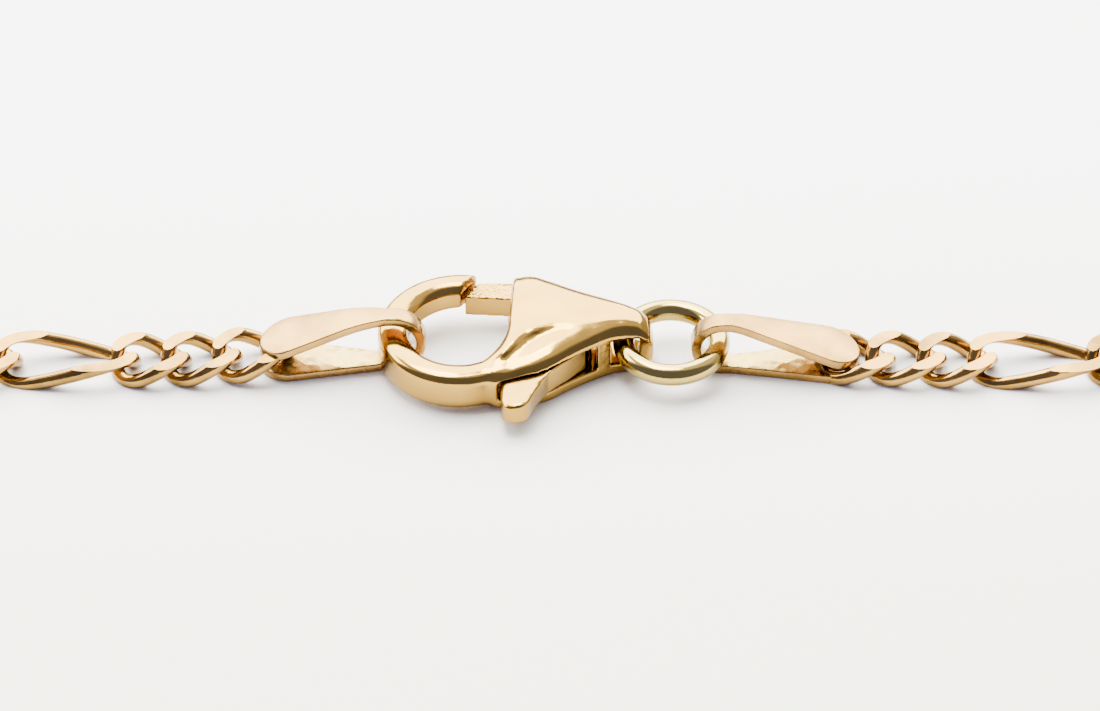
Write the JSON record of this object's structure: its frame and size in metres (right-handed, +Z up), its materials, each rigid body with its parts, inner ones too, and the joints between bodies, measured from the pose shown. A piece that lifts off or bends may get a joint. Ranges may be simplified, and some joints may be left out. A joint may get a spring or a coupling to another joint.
{
  "type": "figaro chain necklace",
  "caption": "Flattened figaro neck chain in one fastened loop, with folded end tags, a jump ring and a lobster claw clasp whose sprung lever opens.",
  "frame": {"origin": "centre of the loop's box, on the surface that the chain lies on", "axes": "+X along the clasp from its hook to its tail, +Y from the clasp across the loop to the middle of the chain, +Z up from the surface"},
  "size_m": [0.169, 0.1121, 0.0029],
  "materials": {
    "link_gold": "polished yellow gold, flattened links",
    "tag_gold": "polished rosy gold with fine scratches",
    "ring_gold": "polished pale greenish gold wire",
    "clasp_gold": "mirror polished yellow gold"
  },
  "bodies": {
    "necklace": {"chain_left": "link_gold", "chain_right": "link_gold", "tag_left": "tag_gold", "tag_right": "tag_gold", "jump_ring": "ring_gold", "clasp_body": "clasp_gold", "pivot_pin": "clasp_gold"},
    "lever": {"clasp_lever": "clasp_gold"}
  },
  "joints": [
    {"name": "lever_swing", "type": "hinge", "parent": "necklace", "child": "lever", "pos_m": [0.0009, -0.05121, 0.0013], "axis": [0, 0, 1], "range_deg": [0, 20], "stiffness_Nm_per_rad": 0.002, "springref_deg": -11.46}
  ]
}
